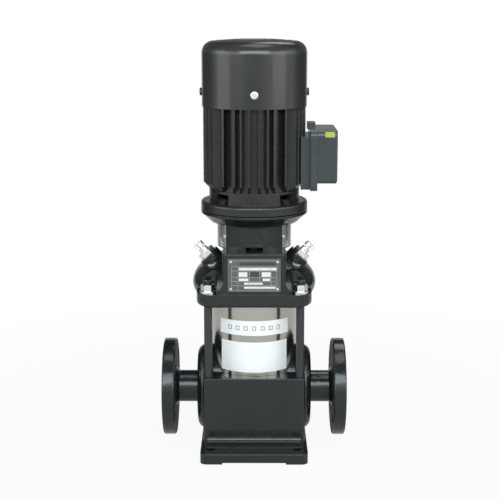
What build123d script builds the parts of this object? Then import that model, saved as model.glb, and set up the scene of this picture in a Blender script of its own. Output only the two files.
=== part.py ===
from build123d import *
import math
import os

# Vertical multistage pump with in-line flanged ports and a flange-mounted, fan-cooled motor.
# Millimetres. The origin is on the floor under the shaft: +Z runs up the shaft, +X runs with
# the flow from the suction flange to the discharge flange, and -Y is the front.

# ---------------------------------------------------------------- fits
slip_gap = 0.1            # between still pieces that slide together at assembly
press_gap = 0.02          # between a hub or ring and the shaft or seat that holds it
bush_gap = 0.06           # oil or water film of a plain bearing, radial
running_gap = 0.3         # between turning and still pieces elsewhere
collar_gap = 0.6          # between the sleeve and the shoulders beside it

# ---------------------------------------------------------------- pump base
port_height = 80
face_to_face = 280
port_bore = 40
neck_diameter = 49
flange_diameter = 150
flange_thickness = 19
flange_bolt_circle = 110
flange_hole_diameter = 18
flange_hole_count = 4
flange_edge_radius = 2.5
neck_root_radius = 5

base_width = 154
base_depth = 156
base_height = 116
base_corner_radius = 6
base_edge_radius = 1.5
base_wall = 9
drum_half_height = 67     # oval shoulder over each port
drum_half_width = 52
drum_reach = 87.5
drum_edge_radius = 14

foot_width = 160
foot_depth = 256
foot_thickness = 16
foot_corner_radius = 10
foot_edge_radius = 1.5
foot_root_radius = 9
foot_hole_across = 130
foot_hole_along = 215
foot_hole_diameter = 13.5
foot_notch_width = 94
foot_notch_height = 2.5
core_height = 44          # hollow under the base, parted by two ribs each way
core_rib = 10
core_cells = 3

chamber_floor = 52
suction_wall = 6
suction_radius = 34
drain_height = 64
drain_bore = 13

# ---------------------------------------------------------------- sleeve and stage stack
sleeve_diameter = 130
sleeve_wall = 2
sleeve_engagement = 10
gasket_thickness = 2
gasket_width = 4
gasket_margin = 1         # bore of the casting inside the gasket

stack_gap = 7             # flow passage between the sleeve and the stack
stack_wall = 2.5
stack_seat_drop = 8       # from the base's top down to the seat of the stack
stage_count = 3
stage_pitch = 27
inlet_bowl_height = 16
outlet_bowl_height = 45
outlet_eye_margin = 8     # around the shaft spacer
plate_thickness = 3
spigot_wall = 3
spider_arm = 6
bowl_plate_thickness = 4
bowl_eye_radius = 27
outlet_window_width = 26
outlet_window_height = 22
outlet_window_count = 8

neck_ring_radius = 24
diffuser_inset = 9
impeller_inset = 12       # tip of the vanes inside the stack's outside
impeller_eye_radius = 15.5
impeller_neck_radius = 19
impeller_hub_radius = 12
impeller_vane_count = 6
vane_thickness = 2
shroud_thickness = 1.6
impeller_lift = 4.5       # front shroud above the chamber's neck plate
impeller_height = 11.5
diffuser_lift = 18
diffuser_thickness = 2.5
return_vane_count = 8
return_vane_lean = 28

shaft_diameter = 16
spacer_radius = 11
bush_wall = 4
bush_length = 16
bush_carrier_wall = 3
end_nut_height = 9
shaft_tail = 5            # below the end nut

# ---------------------------------------------------------------- stay bolts
stay_across = 138
stay_along = 132
stay_diameter = 12
stay_thread_depth = 18
washer_diameter = 24
washer_thickness = 2.5
nut_across_flats = 18
nut_height = 10
stay_end = 5              # above the nut
bolt_clearance = 0.5

# ---------------------------------------------------------------- pump head
head_flange_width = 172
head_flange_depth = 172
head_flange_thickness = 20
head_corner_radius = 30
head_edge_radius = 6
head_recess = 23          # from the head's underside up to the landing of the stack
dome_base_radius = 79
dome_radius = 94
dome_shoulder = 25
dome_knee_radius = 70
dome_knee = 56
dome_crown_radius = 50
dome_crown = 68
dome_front_inset = 1      # dome behind the faces of the nameplate block
block_width = 94
block_depth = 160
block_height = 81
block_corner_radius = 5
block_edge_radius = 2
nut_pocket_radius = 15.5
seal_room_radius = 46
seal_room_height = 18
seal_room_top = 40
seal_room_neck = 24

stool_radius = 56
stool_wall = 10
stool_height = 55
stool_flange_diameter = 161
stool_flange_rim = 8
stool_flange_depth = 20
stool_flange_root = 10
window_half_angle = 36
window_margin = 1.5
rebate_angle = 5.5
guard_edge_angle = 0.3    # guard inside its rebate, to each side
drain_slot_width = 26
drain_slot_height = 4
web_recess_width = 32
web_recess_depth = 1

boss_x = 70
boss_height = 64
boss_radius = 17
boss_length = 42
boss_tilt = 45

# ---------------------------------------------------------------- plugs, vents, plates
plug_across_flats = 23
plug_head_height = 8
plug_thread_diameter = 16
plug_thread_length = 14
vent_boss_radius = 7
vent_boss_height = 6
vent_spindle_diameter = 6
vent_spindle_length = 38
vent_travel = 2
knob_radius = 7.5
knob_height = 7
knob_flute_count = 6
knob_flute_radius = 2

nameplate_width = 78
nameplate_height = 50
nameplate_thickness = 0.8
nameplate_rise = 29
rivet_radius = 1.9
rivet_inset = 4.5
label_thickness = 0.2
label_lift = 0.05         # glue under the labels
label_rise = 6
label_height = 47
label_half_angle = 49
band_rise = 63.5
band_height = 22.5
band_half_angle = 51

guard_thickness = 1
guard_screw_head = 3.2
guard_screw_head_height = 2
guard_screw_radius = 1.5
guard_screw_length = 6

# ---------------------------------------------------------------- shaft seal
gland_radius = 19.5
gland_flange_radius = 26
gland_flange_thickness = 4
gland_bore_radius = 9.5
seal_ring_radius = 15
seal_ring_thickness = 6
seal_face_gap = 0.1
seal_collar_radius = 13.5
seal_collar_length = 18

# ---------------------------------------------------------------- coupling
coupling_radius = 23
coupling_lift = 6
coupling_length = 40
coupling_split = 1.2
coupling_screw_spacing = 24
coupling_screw_offset = 15.5
coupling_screw_radius = 3
coupling_head_radius = 5
coupling_head_height = 6
shaft_end_gap = 4
pump_shaft_grip = 16
coupling_pin_radius = 2.5
coupling_pin_length = 22

# ---------------------------------------------------------------- motor
motor_shaft_diameter = 19
fan_shaft_length = 44     # above the upper bearing
bearing_bore = 20
bearing_diameter = 47
bearing_width = 14
bearing_ring = 4
bearing_shield_inset = 1
bearing_shield = 1
core_seat_diameter = 26
rotor_radius = 38
end_ring_inset = 2
end_ring_wall = 9
end_ring_height = 5
rotor_length = 80
rotor_rise = 49
air_gap = 0.4
stator_radius = 60
end_turn_height = 15
end_turn_wall = 17
end_turn_inset = 3

motor_flange_diameter = 161
motor_flange_thickness = 14
motor_flange_rim_radius = 4
motor_bolt_circle = 130
motor_bolt_count = 4
motor_bolt_diameter = 8
motor_bolt_length = 26
motor_bolt_across_flats = 13
motor_bolt_head_height = 5.5
spigot_radius = 55
spigot_height = 3.5
shield_radius = 68
shield_height = 32
shield_wall = 7
shield_pocket_radius = 13
bearing_wall = 6
drive_bearing_rise = 7

frame_length = 126
frame_wall = 5.5
fin_reach = 76.7
fin_thickness = 3
fin_end_slope = 10
front_fin_offsets = (7.5, 19.5, 29.5, 46)
side_fin_count = 10
side_fin_pitch = 10
fan_shield_height = 14
fan_shield_lug_width = 18
fan_shield_lug_top = 6    # lug above its screw
shield_lip = 4            # centring lip inside the frame
shield_step = 3           # bearing seat below the top of the fan shield
bearing_cover = 1         # housing above the outer ring

cowl_diameter = 157
cowl_wall = 1.5
cowl_overlap = 3
cowl_height = 98
cowl_shoulder = 18
cowl_crown_rise = 2       # raised disc in the middle of the crown
cowl_crown_radius = 33
cowl_screw_rise = 21
cowl_screw_count = 4
cowl_screw_head = 5.8
cowl_screw_head_height = 3
cowl_screw_radius = 2.5
cowl_screw_length = 10
grille_inner = 12
grille_slot = 7
grille_rib = 5.5
grille_ring_count = 4
grille_spoke_count = 8

fan_radius = 62
fan_hub_radius = 15
fan_hub_length = 26
fan_shaft_tail = 5        # shaft end above the fan's hub
fan_blade_count = 8
fan_blade_thickness = 2.5
fan_blade_height = 24
fan_plate_thickness = 2.5
fan_seat_diameter = 15

# ---------------------------------------------------------------- terminal box
box_rise = 34
box_height = 78
box_width = 78
box_reach = 83
box_wall = 4
lead_hole_radius = 12
rim_height = 91
rim_width = 96
rim_thickness = 10
rim_drop = 2
cover_height = 80
cover_width = 92
cover_depth = 29.6
cover_wall = 3
cover_corner_radius = 9
lug_width = 12
lug_height = 8
lug_depth = 24
cover_screw_radius = 2
cover_screw_head = 4
cover_screw_head_height = 2.5
cover_screw_length = 12
board_width = 46
board_height = 34
board_thickness = 8
stud_radius = 2.5
stud_length = 12
stud_pitch = 14
gland_thread_radius = 8
gland_boss_radius = 11
gland_inset = 2           # gland axis inside the rim's inner face
gland_nut_across_flats = 20
gland_nut_height = 7
gland_cap_radius = 9
gland_cap_height = 8

# ---------------------------------------------------------------- levels worked out from the sizes
sleeve_radius = sleeve_diameter / 2
annulus_radius = sleeve_radius - gasket_width - gasket_margin
stack_radius = sleeve_radius - sleeve_wall - stack_gap
diffuser_radius = stack_radius - diffuser_inset
impeller_radius = stack_radius - impeller_inset
sleeve_bottom = base_height - sleeve_engagement
gasket_seat = sleeve_bottom - gasket_thickness
stack_bottom = base_height - stack_seat_drop
first_stage = stack_bottom + inlet_bowl_height
stages_top = first_stage + stage_count * stage_pitch
stack_top = stages_top + outlet_bowl_height
head_bottom = stack_top - head_recess
sleeve_top = head_bottom + sleeve_engagement
head_top = head_bottom + block_height
nut_seat = head_bottom + head_flange_thickness
motor_face = head_top + stool_height
seal_ceiling = head_bottom + head_recess + seal_room_top
gland_bottom = seal_ceiling - 2 * slip_gap
seal_face = gland_bottom - seal_ring_thickness
coupling_bottom = head_top + coupling_lift
coupling_top = coupling_bottom + coupling_length
pump_shaft_top = coupling_bottom + pump_shaft_grip
motor_shaft_bottom = pump_shaft_top + shaft_end_gap
frame_bottom = motor_face + shield_height
frame_top = frame_bottom + frame_length
rotor_bottom = motor_face + rotor_rise
rotor_top = rotor_bottom + rotor_length
drive_bearing = motor_face + drive_bearing_rise
fan_bearing = frame_top + fan_shield_height - shield_step
motor_shaft_top = fan_bearing + bearing_width + fan_shaft_length
fan_bottom = motor_shaft_top - fan_shaft_tail - fan_hub_length
cowl_bottom = frame_top - cowl_overlap
cowl_top = cowl_bottom + cowl_height
box_bottom = motor_face + box_rise
bearing_outer = bearing_diameter / 2
shaft_radius = shaft_diameter / 2
stay_points = [(x * stay_across / 2, y * stay_along / 2) for x in (-1, 1) for y in (-1, 1)]
motor_bolt_angles = [45 + 360 / motor_bolt_count * k for k in range(motor_bolt_count)]


# ---------------------------------------------------------------- small helpers
def rod(radius, bottom, top):
    """Round bar on the shaft axis."""
    return Pos(0, 0, bottom) * Cylinder(radius, top - bottom, align=(Align.CENTER, Align.CENTER, Align.MIN))


def ring(outer, inner, bottom, top):
    """Plain ring on the shaft axis."""
    return rod(outer, bottom, top) - rod(inner, bottom - 1, top + 1)


def turned(outline):
    """Solid of revolution about the shaft from a closed line of (radius, height)."""
    return revolve(Plane.XZ * make_face(outline), Axis.Z)


def turned_points(*points):
    """Solid of revolution from straight-sided (radius, height) points."""
    return turned(Polyline(*points, close=True))


def block(x_range, y_range, z_range):
    """Box between two x, two y and two z values."""
    (x0, x1), (y0, y1), (z0, z1) = x_range, y_range, z_range
    return Pos((x0 + x1) / 2, (y0 + y1) / 2, (z0 + z1) / 2) * Box(x1 - x0, y1 - y0, z1 - z0)


def sector(outer, inner, centre_angle, half_angle, bottom, top):
    """Part of a ring, half_angle degrees to each side of centre_angle."""
    reach = 2 * outer
    side = reach * math.tan(math.radians(half_angle))
    wedge = extrude(make_face(Polyline((0, 0), (reach, side), (reach, -side), close=True)), top - bottom)
    return ring(outer, inner, bottom, top) & (Pos(0, 0, bottom) * Rot(0, 0, centre_angle) * wedge)


def around(shape, count, start=0.0):
    """Copies of a shape spaced evenly about the shaft."""
    return [Rot(0, 0, start + 360 / count * k) * shape for k in range(count)]


def hexagon(across_flats, height):
    """Hexagonal bar standing on the origin."""
    return extrude(RegularPolygon(across_flats / math.sqrt(3), 6), height)


def pan_screw(head_radius, head_height, shank_radius, shank_length):
    """Screw with its seat at the origin, head up and shank down."""
    head = rod(head_radius, 0, head_height)
    head = fillet(head.edges().group_by(Axis.Z)[-1], head_height * 0.45)
    return head + rod(shank_radius, -shank_length, 0)


def radial_plane(angle, radius, height):
    """Plane at a radius that faces outwards at an angle about the shaft."""
    outward = (math.cos(math.radians(angle)), math.sin(math.radians(angle)), 0)
    return Plane((outward[0] * radius, outward[1] * radius, height), z_dir=outward)


def front_plane(x, z, depth=0.0):
    """Plane that faces the front at (x, z), depth millimetres in front of the shaft."""
    return Plane((x, -depth, z), x_dir=(1, 0, 0), z_dir=(0, -1, 0))


def boss_plane(side, along=0.0):
    """Plane on the axis of a priming boss, along millimetres out from its face."""
    tilt = math.radians(boss_tilt)
    outward = (side * math.sin(tilt), 0, math.cos(tilt))
    face = Vector(side * boss_x, 0, head_bottom + boss_height)
    return Plane(face + Vector(outward) * along, z_dir=outward)


# ---------------------------------------------------------------- pump base
def port_flange(side):
    """Round flange, its neck and the root fillet between them, on one side of the base."""
    neck_radius = neck_diameter / 2
    back = face_to_face / 2 - flange_thickness
    profile = Polyline(
        (0, 0), (neck_radius, 0), (neck_radius, back - neck_root_radius),
        (neck_radius + neck_root_radius, back), (flange_diameter / 2, back),
        (flange_diameter / 2, face_to_face / 2), (0, face_to_face / 2), close=True)
    flange = revolve(Plane.XZ * make_face(profile), Axis.Z)
    rims = flange.edges().filter_by(GeomType.CIRCLE).filter_by(lambda e: e.radius > flange_diameter / 2 - 1)
    flange = fillet(rims, flange_edge_radius)
    hole = Pos(flange_bolt_circle / 2, 0, 0) * rod(flange_hole_diameter / 2, back - 1, face_to_face / 2 + 1)
    flange -= around(hole, flange_hole_count, 180 / flange_hole_count)
    return Plane((0, 0, port_height), z_dir=(side, 0, 0)) * flange


def base_outside():
    """Outer form of the base: foot plate, square body, round shoulders and the two flanges."""
    foot = extrude(RectangleRounded(foot_width, foot_depth, foot_corner_radius), foot_thickness)
    foot = fillet(foot.edges().group_by(Axis.Z)[-1], foot_edge_radius)
    body = extrude(RectangleRounded(base_width, base_depth, base_corner_radius), base_height)
    body = fillet(body.edges().group_by(Axis.Z)[-1], base_edge_radius)
    drum = extrude(Ellipse(drum_half_height, drum_half_width), drum_reach, both=True)
    drum = fillet(drum.edges().group_by(Axis.Z)[0] + drum.edges().group_by(Axis.Z)[-1], drum_edge_radius)
    drum = Pos(0, 0, port_height) * Rot(0, 90, 0) * drum
    shape = foot + body + drum
    for side in (-1, 1):
        root = make_face(
            Line((0, 0), (foot_root_radius, 0))
            + ThreePointArc(
                (foot_root_radius, 0),
                (foot_root_radius * (1 - math.sqrt(0.5)), foot_root_radius * (1 - math.sqrt(0.5))),
                (0, foot_root_radius))
            + Line((0, foot_root_radius), (0, 0)))
        plane = Plane((0, side * base_depth / 2, foot_thickness), x_dir=(0, side, 0), z_dir=(side, 0, 0))
        length = base_width / 2 - base_corner_radius
        shape += extrude(plane * root, length, both=True)
        shape += port_flange(side)
    return shape


def underside_cells():
    """Hollows under the base: a grid of cells with ribs between them."""
    width = (base_width - 2 * base_wall + core_rib) / core_cells
    depth = (base_depth - 2 * base_wall + core_rib) / core_cells
    cell = extrude(RectangleRounded(width - core_rib, depth - core_rib, base_corner_radius), core_height)
    middle = (core_cells - 1) / 2
    return Part() + [
        Pos((i - middle) * width, (j - middle) * depth, 0) * cell
        for i in range(core_cells) for j in range(core_cells)]


def pump_base():
    """Cast base: suction room in the middle, delivery room around it, hollow underneath."""
    delivery = rod(annulus_radius, chamber_floor, gasket_seat + 1)
    seat = rod(sleeve_radius + slip_gap, gasket_seat, base_height)
    seat += rod(sleeve_radius + collar_gap, base_height - 1, port_height + drum_half_height + 5)
    suction_tube = Plane((0, 0, port_height), z_dir=(-1, 0, 0)) * rod(
        neck_diameter / 2, suction_radius, annulus_radius + suction_wall)
    inner = rod(suction_radius + suction_wall, chamber_floor - 1, stack_bottom)
    inner += suction_tube & rod(annulus_radius + suction_wall / 2, chamber_floor, gasket_seat)
    shape = base_outside() - delivery - seat + inner
    shape -= rod(suction_radius, chamber_floor, base_height)
    for side, room_radius in ((-1, suction_radius), (1, annulus_radius)):
        mouth = math.sqrt(room_radius ** 2 - (port_bore / 2) ** 2)
        shape -= Plane((0, 0, port_height), z_dir=(side, 0, 0)) * rod(
            port_bore / 2, mouth - slip_gap, face_to_face / 2 + 1)
    shape = shape - underside_cells() - Box(foot_notch_width, foot_depth + 2, 2 * foot_notch_height)
    for x, y in stay_points:
        shape -= Pos(x, y, 0) * rod(
            stay_diameter / 2 + press_gap, base_height - stay_thread_depth - stay_end, base_height + 1)
    for x in (-foot_hole_across / 2, foot_hole_across / 2):
        for y in (-foot_hole_along / 2, foot_hole_along / 2):
            shape -= Pos(x, y, 0) * rod(foot_hole_diameter / 2, -1, foot_thickness + 1)
    drain = radial_plane(90, 0, drain_height) * rod(drain_bore / 2, annulus_radius - 4, base_depth / 2 + 1)
    return shape - drain


def drain_plug():
    """Hexagon plug in the back of the base."""
    plug = hexagon(plug_across_flats * 0.8, plug_head_height) + rod(
        drain_bore / 2 - press_gap, -plug_thread_length, 0)
    return radial_plane(90, base_depth / 2, drain_height) * plug


# ---------------------------------------------------------------- sleeve and stage stack
def outer_sleeve():
    """Stainless tube between the base and the head."""
    return ring(sleeve_radius, sleeve_radius - sleeve_wall, sleeve_bottom, sleeve_top)


def sleeve_gaskets():
    """Flat ring under and over the sleeve."""
    return [
        ring(sleeve_radius, sleeve_radius - gasket_width, level, level + gasket_thickness)
        for level in (gasket_seat, sleeve_top)]


def sleeve_labels():
    """Two plain labels wrapped round the front of the sleeve."""
    inner = sleeve_radius + label_lift
    spans = ((label_rise, label_height, label_half_angle), (band_rise, band_height, band_half_angle))
    return [
        sector(inner + label_thickness, inner, -90, half_angle,
               base_height + rise, base_height + rise + height)
        for rise, height, half_angle in spans]


def inlet_bowl():
    """Bottom of the stack, with a three-armed carrier for the lower bearing."""
    bush_outer = spacer_radius + bush_gap + bush_wall
    hub_bottom = stack_bottom - (bush_length - inlet_bowl_height / 2) / 2
    shape = ring(stack_radius, bowl_eye_radius, stack_bottom, stack_bottom + bowl_plate_thickness)
    shape += ring(stack_radius, stack_radius - stack_wall, stack_bottom, first_stage)
    shape += ring(suction_radius - slip_gap, suction_radius - slip_gap - spigot_wall,
                  stack_bottom - bowl_plate_thickness, stack_bottom + bowl_plate_thickness)
    shape += ring(bush_outer + bush_carrier_wall, bush_outer + press_gap,
                  hub_bottom, hub_bottom + bush_length)
    arm = block((bush_outer + 1, suction_radius - slip_gap - 1), (-spider_arm / 2, spider_arm / 2),
                (stack_bottom, stack_bottom + bowl_plate_thickness))
    return shape + around(arm, 3, 90)


def bottom_bush():
    """Lower plain bearing of the pump shaft."""
    inner = spacer_radius + bush_gap
    bottom = stack_bottom - (bush_length - inlet_bowl_height / 2) / 2
    return ring(inner + bush_wall, inner, bottom, bottom + bush_length)


def stage_chamber(level):
    """Stage housing: neck plate, outer wall, diffuser disc and the return vanes over it."""
    disc = level + diffuser_lift
    top = level + stage_pitch
    shape = ring(stack_radius, neck_ring_radius + slip_gap, level, level + plate_thickness)
    shape += ring(stack_radius, stack_radius - stack_wall, level, top)
    shape += ring(diffuser_radius, spacer_radius + 2 * running_gap, disc, disc + diffuser_thickness)
    inner = spacer_radius + 4
    vane = block((inner, stack_radius + inner), (0, vane_thickness), (disc + 1, top))
    vane = Pos(inner, 0, 0) * Rot(0, 0, return_vane_lean) * Pos(-inner, 0, 0) * vane
    vane &= rod(stack_radius - stack_wall / 2, disc, top)
    return shape + around(vane, return_vane_count)


def neck_rings():
    """Sealing ring in the neck plate of each chamber."""
    levels = [first_stage + stage_pitch * k for k in range(stage_count)]
    return [
        ring(neck_ring_radius, impeller_neck_radius + running_gap, level, level + plate_thickness)
        for level in levels]


def impeller(level):
    """Closed impeller with backward-curved vanes between two shrouds."""
    bottom = level + impeller_lift
    top = bottom + impeller_height
    shape = ring(impeller_radius, impeller_eye_radius, bottom, bottom + shroud_thickness)
    shape += ring(impeller_neck_radius, impeller_eye_radius, level + running_gap, bottom + shroud_thickness)
    shape += ring(impeller_radius, shaft_radius + press_gap, top - shroud_thickness, top)
    shape += ring(impeller_hub_radius, shaft_radius + press_gap, bottom, top)
    arc_radius = impeller_radius * 0.62
    inner = impeller_hub_radius + 1
    arc = Pos(inner, arc_radius, 0) * ring(
        arc_radius + vane_thickness / 2, arc_radius - vane_thickness / 2, bottom + 1, top - 1)
    arc &= ring(impeller_radius - 0.5, inner - 2, bottom + 1, top - 1)
    arc &= block((inner - 4, impeller_radius), (-vane_thickness, arc_radius), (bottom, top))
    return shape + around(arc, impeller_vane_count)


def outlet_bowl():
    """Top of the stack, with windows that let the flow out to the sleeve."""
    shape = ring(stack_radius, stack_radius - stack_wall, stages_top, stack_top)
    shape += ring(stack_radius, spacer_radius + outlet_eye_margin, stages_top, stages_top + plate_thickness)
    sill = stages_top + (outlet_bowl_height - outlet_window_height) / 2
    window = block((stack_radius - 2 * stack_wall, stack_radius + 1),
                   (-outlet_window_width / 2, outlet_window_width / 2),
                   (sill, sill + outlet_window_height))
    return shape - around(window, outlet_window_count)


# ---------------------------------------------------------------- stay bolts
def stay_bolts():
    """Four long studs that clamp the head to the base."""
    top = nut_seat + washer_thickness + nut_height + stay_end
    stud = rod(stay_diameter / 2, base_height - stay_thread_depth, top)
    return [Pos(x, y, 0) * stud for x, y in stay_points]


def stay_washers():
    """Flat washer on each stud."""
    plain = ring(washer_diameter / 2, stay_diameter / 2 + slip_gap, nut_seat, nut_seat + washer_thickness)
    return [Pos(x, y, 0) * plain for x, y in stay_points]


def stay_nuts():
    """Hexagon nut on each stud, chamfered on top."""
    crown = nut_across_flats / 2
    nut = hexagon(nut_across_flats, nut_height)
    nut &= turned_points((0, 0), (crown * 1.2, 0), (crown * 1.2, nut_height - 1.2),
                         (crown, nut_height), (0, nut_height))
    nut -= rod(stay_diameter / 2 + press_gap, -1, nut_height + 1)
    return [Pos(x, y, nut_seat + washer_thickness) * nut for x, y in stay_points]


# ---------------------------------------------------------------- pump head with motor stool
def head_outside():
    """Outer form of the head: clamping flange, dome, nameplate block and the priming bosses."""
    base = head_bottom
    plate = extrude(
        RectangleRounded(head_flange_width, head_flange_depth, head_corner_radius), head_flange_thickness)
    plate = fillet(plate.edges().group_by(Axis.Z)[0], head_edge_radius)
    outline = (
        Polyline((0, base), (dome_base_radius, base))
        + ThreePointArc(
            (dome_base_radius, base),
            (dome_base_radius + (dome_radius - dome_base_radius) * 0.8, base + dome_shoulder * 0.45),
            (dome_radius, base + dome_shoulder))
        + ThreePointArc(
            (dome_radius, base + dome_shoulder),
            (dome_radius - (dome_radius - dome_knee_radius) * 0.3,
             base + (dome_shoulder + dome_knee) / 2 + 3),
            (dome_knee_radius, base + dome_knee))
        + Polyline((dome_knee_radius, base + dome_knee), (dome_crown_radius, base + dome_crown),
                   (0, base + dome_crown), (0, base)))
    dome_front = block_depth / 2 - dome_front_inset
    dome = turned(outline) & block(
        (-dome_radius, dome_radius), (-dome_front, dome_front), (base, base + dome_crown + 1))
    name_block = extrude(RectangleRounded(block_width, block_depth, block_corner_radius), block_height)
    name_block = fillet(name_block.edges().group_by(Axis.Z)[-1], block_edge_radius)
    shape = Pos(0, 0, base) * plate + dome + Pos(0, 0, base) * name_block
    for side in (-1, 1):
        shape += boss_plane(side) * rod(boss_radius, -boss_length, 0)
    return shape


def stool():
    """Short tube and flange that carry the motor, open at both sides for the coupling."""
    inner = stool_radius - stool_wall
    flange = stool_flange_diameter / 2
    rim = motor_face - stool_flange_rim
    root = motor_face - stool_flange_depth
    shape = turned_points(
        (inner, head_top - 1), (stool_radius, head_top - 1), (stool_radius, root),
        (stool_radius + stool_flange_root, root + 2), (flange - 4, rim), (flange, rim + 3),
        (flange, motor_face - 2), (flange - 2, motor_face), (inner, motor_face))
    window_top = root - window_margin
    for side_angle in (0, 180):
        shape -= sector(stool_radius + 1, inner - 1, side_angle, window_half_angle,
                        head_top + window_margin, window_top)
        shape -= sector(stool_radius + 1, stool_radius - guard_thickness - slip_gap, side_angle,
                        window_half_angle + rebate_angle, head_top, root)
    for side in (-1, 1):
        shape -= block((-drain_slot_width / 2, drain_slot_width / 2),
                       sorted((side * (inner - 5), side * (stool_radius + 1))),
                       (head_top, head_top + drain_slot_height))
        shape -= block((-web_recess_width / 2, web_recess_width / 2),
                       sorted((side * (stool_radius - web_recess_depth), side * (stool_radius + 1))),
                       (head_top + 2 * drain_slot_height, root - 2))
    return shape


def guard_screw_places():
    """Where the guards are screwed to the stool: one angle for each edge of each guard."""
    edge = window_half_angle + rebate_angle / 2
    return [centre + side * edge for centre in (0, 180) for side in (-1, 1)]


def guard_middle():
    """Height of the middle of the coupling guards."""
    return (head_top + motor_face - stool_flange_depth) / 2


def pump_head():
    """Cast head: clamping flange, domed seal room, priming bosses and the motor stool."""
    shape = head_outside() + stool()
    ceiling = head_bottom + head_recess
    shape -= rod(sleeve_radius + slip_gap, head_bottom - 1, sleeve_top + gasket_thickness)
    shape -= rod(annulus_radius, sleeve_top + gasket_thickness - 1, ceiling)
    shape -= turned_points(
        (0, ceiling - 1), (seal_room_radius, ceiling - 1), (seal_room_radius, ceiling + seal_room_height),
        (seal_room_neck, seal_ceiling), (0, seal_ceiling))
    shape -= rod(gland_radius + slip_gap, seal_ceiling - 1, head_top + 1)
    shape -= rod(spigot_radius + slip_gap, motor_face - spigot_height - slip_gap, motor_face + 1)
    for side in (-1, 1):
        shape -= boss_plane(side) * rod(plug_thread_diameter / 2 + press_gap, -boss_length + 2, 1)
    for x, y in stay_points:
        shape -= Pos(x, y, 0) * rod(nut_pocket_radius, nut_seat, head_top + 5)
        shape -= Pos(x, y, 0) * rod(stay_diameter / 2 + bolt_clearance, head_bottom - 1, nut_seat + 1)
    tapped = Pos(motor_bolt_circle / 2, 0, 0) * rod(
        motor_bolt_diameter / 2 + press_gap, motor_face - motor_bolt_length, motor_face + 1)
    shape -= [Rot(0, 0, angle) * tapped for angle in motor_bolt_angles]
    screw_hole = rod(guard_screw_radius + press_gap, -guard_screw_length - 1, 1)
    for angle in guard_screw_places():
        shape -= radial_plane(angle, stool_radius, guard_middle()) * screw_hole
    return shape


def coupling_guard(centre_angle):
    """Bent sheet that closes one side of the stool."""
    span = window_half_angle + rebate_angle - guard_edge_angle
    root = motor_face - stool_flange_depth
    sheet = sector(stool_radius, stool_radius - guard_thickness, centre_angle, span,
                   head_top + running_gap, root - running_gap)
    hole = rod(guard_screw_radius + slip_gap, -3, 3)
    for angle in (centre_angle - window_half_angle - rebate_angle / 2,
                  centre_angle + window_half_angle + rebate_angle / 2):
        sheet -= radial_plane(angle, stool_radius, guard_middle()) * hole
    return sheet


def guard_screws():
    """Small screws at the edges of the guards."""
    screw = pan_screw(guard_screw_head, guard_screw_head_height, guard_screw_radius, guard_screw_length)
    return [radial_plane(angle, stool_radius + slip_gap, guard_middle()) * screw
            for angle in guard_screw_places()]


# ---------------------------------------------------------------- plugs, vents and plates
def priming_plug(side):
    """Hexagon priming plug with a raised seat for the vent screw."""
    plug = hexagon(plug_across_flats, plug_head_height)
    plug += rod(vent_boss_radius, 0, plug_head_height + vent_boss_height)
    plug += rod(plug_thread_diameter / 2, -plug_thread_length, 0)
    plug -= rod(vent_spindle_diameter / 2 + bush_gap, -plug_thread_length - 1,
                plug_head_height + vent_boss_height + 1)
    return boss_plane(side) * plug


def vent_spindle(side):
    """Vent screw's stem, with a pointed end inside the plug."""
    radius = vent_spindle_diameter / 2
    stem = rod(radius, -plug_thread_length + radius, vent_spindle_length - plug_thread_length)
    stem += Pos(0, 0, -plug_thread_length + radius / 2) * Cone(radius / 3, radius, radius)
    return boss_plane(side) * stem


def vent_knob(side):
    """Fluted knob on the end of the vent screw."""
    knob = rod(knob_radius, 0, knob_height)
    flute = rod(knob_flute_radius, -1, knob_height + 1)
    knob -= around(Pos(knob_radius + knob_flute_radius / 3, 0, 0) * flute, knob_flute_count)
    knob -= rod(vent_spindle_diameter / 2 + bush_gap, -1, knob_height + 1)
    rise = vent_spindle_length - plug_thread_length - knob_height - running_gap
    return boss_plane(side, rise) * knob


def nameplate():
    """Bare metal plate on the front of the head."""
    middle = head_bottom + head_flange_thickness + nameplate_rise
    front = -block_depth / 2
    plate = block((-nameplate_width / 2, nameplate_width / 2), (front - nameplate_thickness, front),
                  (middle - nameplate_height / 2, middle + nameplate_height / 2))
    for x, z in rivet_places():
        plate -= front_plane(x, z, -front) * rod(rivet_radius * 0.6, -1, 2)
    return plate


def rivet_places():
    """Corners of the nameplate as (across, height) seen from the front."""
    middle = head_bottom + head_flange_thickness + nameplate_rise
    across = nameplate_width / 2 - rivet_inset
    rise = nameplate_height / 2 - rivet_inset
    return [(x * across, middle + z * rise) for x in (-1, 1) for z in (-1, 1)]


def nameplate_rivets():
    """Round-headed rivets in the corners of the nameplate."""
    rivet = rod(rivet_radius, 0, rivet_radius / 2)
    rivet += rod(rivet_radius * 0.6 - press_gap, -nameplate_thickness, 0)
    return [front_plane(x, z, block_depth / 2 + nameplate_thickness) * rivet for x, z in rivet_places()]


# ---------------------------------------------------------------- shaft seal
def seal_gland():
    """Bush that closes the seal room and holds the still seal ring."""
    shape = ring(gland_radius, gland_bore_radius, gland_bottom, head_top + gland_flange_thickness)
    return shape + ring(gland_flange_radius, gland_bore_radius, head_top, head_top + gland_flange_thickness)


def seal_still_ring():
    """Still face of the seal, seated under the gland."""
    return ring(seal_ring_radius, shaft_radius + 1, seal_face, gland_bottom)


def seal_turning_ring():
    """Turning face of the seal."""
    top = seal_face - seal_face_gap
    return ring(seal_ring_radius - 1, shaft_radius + press_gap, top - seal_ring_thickness, top)


def seal_collar():
    """Collar that drives the turning face."""
    top = seal_face - seal_face_gap - seal_ring_thickness
    return ring(seal_collar_radius, shaft_radius + press_gap, top - seal_collar_length, top)


# ---------------------------------------------------------------- pump shaft
def shaft_end():
    """Height of the underside of the end nut."""
    return stack_bottom - (bush_length - inlet_bowl_height / 2) / 2 - 2 - end_nut_height


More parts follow.
